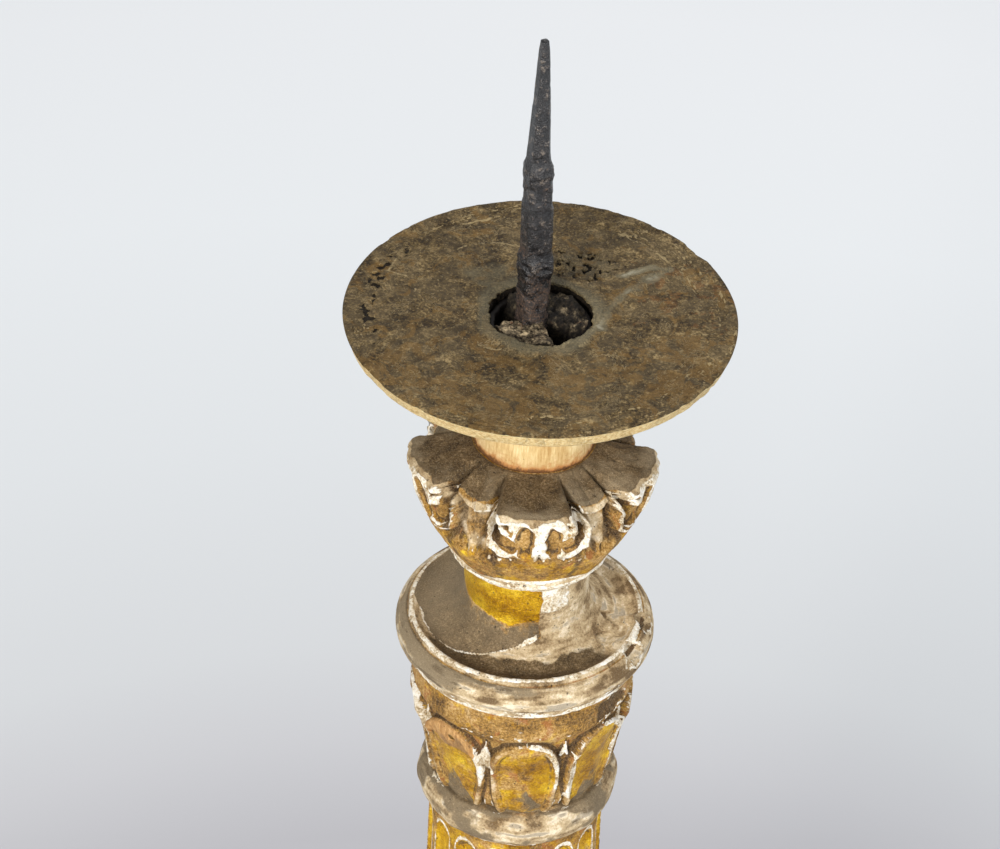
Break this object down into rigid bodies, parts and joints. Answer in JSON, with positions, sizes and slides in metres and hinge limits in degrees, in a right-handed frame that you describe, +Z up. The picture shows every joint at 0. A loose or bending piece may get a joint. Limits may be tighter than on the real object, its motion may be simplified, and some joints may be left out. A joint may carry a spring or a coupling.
{
  "type": "altar candlestick",
  "caption": "Tall carved and gilded wooden altar candlestick with a round drip pan, an iron pricket spike, a fluted column and a three-sided scrolled base.",
  "frame": {"origin": "on the stem's axis, in the plane of the three feet's soles", "axes": "+Z up along the stem; one flat side of the three-sided base faces -Y, and a corner points to +Y"},
  "size_m": [0.2278, 0.1973, 0.854],
  "materials": {
    "wrought_iron": "hammered, black-brown, satin",
    "bare_wood": "bare, turned",
    "stained_wood": "dark worn patina with old wax",
    "gilt_gesso": "worn gold leaf on white gesso"
  },
  "bodies": {
    "stand": {"pricket": "wrought_iron", "pricket_wedges": "bare_wood", "pan_post": "bare_wood", "capital": "gilt_gesso", "collar": "gilt_gesso", "leaf_cup": "gilt_gesso", "column": "gilt_gesso", "column_foot": "gilt_gesso", "lower_vase": "gilt_gesso", "vase_knop": "gilt_gesso", "base_neck": "gilt_gesso", "base_top_plate": "gilt_gesso", "base_block": "gilt_gesso", "base_plinth": "gilt_gesso", "plinth_nails": "wrought_iron", "corner_scroll_back": "gilt_gesso", "foot_back": "gilt_gesso", "corner_scroll_left": "gilt_gesso", "foot_left": "gilt_gesso", "corner_scroll_right": "gilt_gesso", "foot_right": "gilt_gesso", "side_ornament_front": "gilt_gesso", "side_ornament_right": "gilt_gesso", "side_ornament_left": "gilt_gesso"},
    "pan": {"drip_pan": "stained_wood"}
  },
  "joints": [
    {"name": "pan_lift", "type": "slide", "parent": "stand", "child": "pan", "axis": [0, 0, 1], "range_m": [0, 0.13]}
  ]
}
